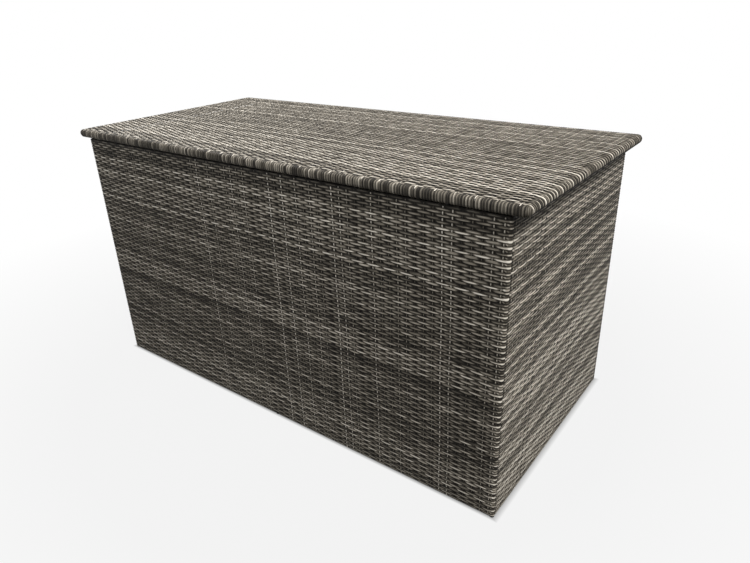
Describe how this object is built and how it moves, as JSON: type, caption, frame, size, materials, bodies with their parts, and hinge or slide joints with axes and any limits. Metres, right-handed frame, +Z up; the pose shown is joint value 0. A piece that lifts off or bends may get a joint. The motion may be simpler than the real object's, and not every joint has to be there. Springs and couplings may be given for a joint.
{
  "type": "woven storage box",
  "caption": "Large woven garden cushion box on tube frames, with an overhanging lid on rear hinges and a gas strut at each end.",
  "frame": {"origin": "on the floor, under the middle of the whole box", "axes": "+Z up, +X to the right seen from the front, the front faces -Y"},
  "size_m": [1.58, 0.76, 0.8174],
  "materials": {
    "grey_cane": "flat extruded plastic cane, streaked greys, satin",
    "grey_powder_coat": "grey powder coat on aluminium, fine orange peel",
    "zinc_steel": "bright zinc plated steel",
    "black_enamel": "black enamelled steel tube",
    "chrome_rod": "hard chrome, polished",
    "black_nylon": "moulded black nylon",
    "black_rubber": "matt black rubber"
  },
  "bodies": {
    "box": {"front_weave": "grey_cane", "front_frame": "grey_powder_coat", "back_weave": "grey_cane", "back_frame": "grey_powder_coat", "left_weave": "grey_cane", "left_frame": "grey_powder_coat", "right_weave": "grey_cane", "right_frame": "grey_powder_coat", "base_frame": "grey_powder_coat", "base_slats": "grey_powder_coat", "base_screws": "zinc_steel", "foot_glides": "black_nylon", "lid_stops": "black_rubber", "corner_bolts": "zinc_steel", "threaded_inserts": "zinc_steel", "hinge_left_fixed_leaf": "zinc_steel", "hinge_left_pin": "zinc_steel", "hinge_middle_fixed_leaf": "zinc_steel", "hinge_middle_pin": "zinc_steel", "hinge_right_fixed_leaf": "zinc_steel", "hinge_right_pin": "zinc_steel", "hinge_body_screws": "zinc_steel", "strut_body_screws": "zinc_steel", "strut_left_body_bracket": "zinc_steel", "strut_right_body_bracket": "zinc_steel"},
    "lid": {"lid_frame": "grey_powder_coat", "lid_weave": "grey_cane", "lid_front_binding": "grey_cane", "lid_back_binding": "grey_cane", "hinge_left_lid_leaf": "zinc_steel", "hinge_middle_lid_leaf": "zinc_steel", "hinge_right_lid_leaf": "zinc_steel", "hinge_lid_screws": "zinc_steel", "strut_lid_screws": "zinc_steel", "strut_left_lid_bracket": "zinc_steel", "strut_right_lid_bracket": "zinc_steel"},
    "strut_left_cylinder_body": {"strut_left_cylinder": "black_enamel", "strut_left_gland": "black_nylon", "strut_left_cylinder_eye": "zinc_steel"},
    "strut_left_rod_body": {"strut_left_rod": "chrome_rod", "strut_left_rod_eye": "zinc_steel", "strut_left_lid_stud": "zinc_steel"},
    "strut_right_cylinder_body": {"strut_right_cylinder": "black_enamel", "strut_right_gland": "black_nylon", "strut_right_cylinder_eye": "zinc_steel"},
    "strut_right_rod_body": {"strut_right_rod": "chrome_rod", "strut_right_rod_eye": "zinc_steel", "strut_right_lid_stud": "zinc_steel"}
  },
  "joints": [
    {"name": "lid_hinge", "type": "hinge", "parent": "box", "child": "lid", "pos_m": [0, 0.376, 0.791], "axis": [-1, 0, 0], "range_deg": [0, 80]},
    {"name": "strut_left_tilt", "type": "hinge", "parent": "box", "child": "strut_left_cylinder_body", "pos_m": [-0.716, 0.256, 0.3965], "axis": [-1, 0, 0], "range_deg": [0, 16.51]},
    {"name": "strut_left_extend", "type": "slide", "parent": "strut_left_cylinder_body", "child": "strut_left_rod_body", "axis": [0, -0.1558, 0.9878], "range_m": [0, 0.18935]},
    {"name": "strut_right_tilt", "type": "hinge", "parent": "box", "child": "strut_right_cylinder_body", "pos_m": [0.716, 0.256, 0.3965], "axis": [-1, 0, 0], "range_deg": [0, 16.51]},
    {"name": "strut_right_extend", "type": "slide", "parent": "strut_right_cylinder_body", "child": "strut_right_rod_body", "axis": [0, -0.1558, 0.9878], "range_m": [0, 0.18935]}
  ],
  "couplings": [
    {"joint": "strut_left_tilt", "follows": "lid_hinge", "ratio": 0.20576},
    {"joint": "strut_left_extend", "follows": "lid_hinge", "m_per_rad": 0.13539},
    {"joint": "strut_right_tilt", "follows": "lid_hinge", "ratio": 0.20576},
    {"joint": "strut_right_extend", "follows": "lid_hinge", "m_per_rad": 0.13539}
  ]
}
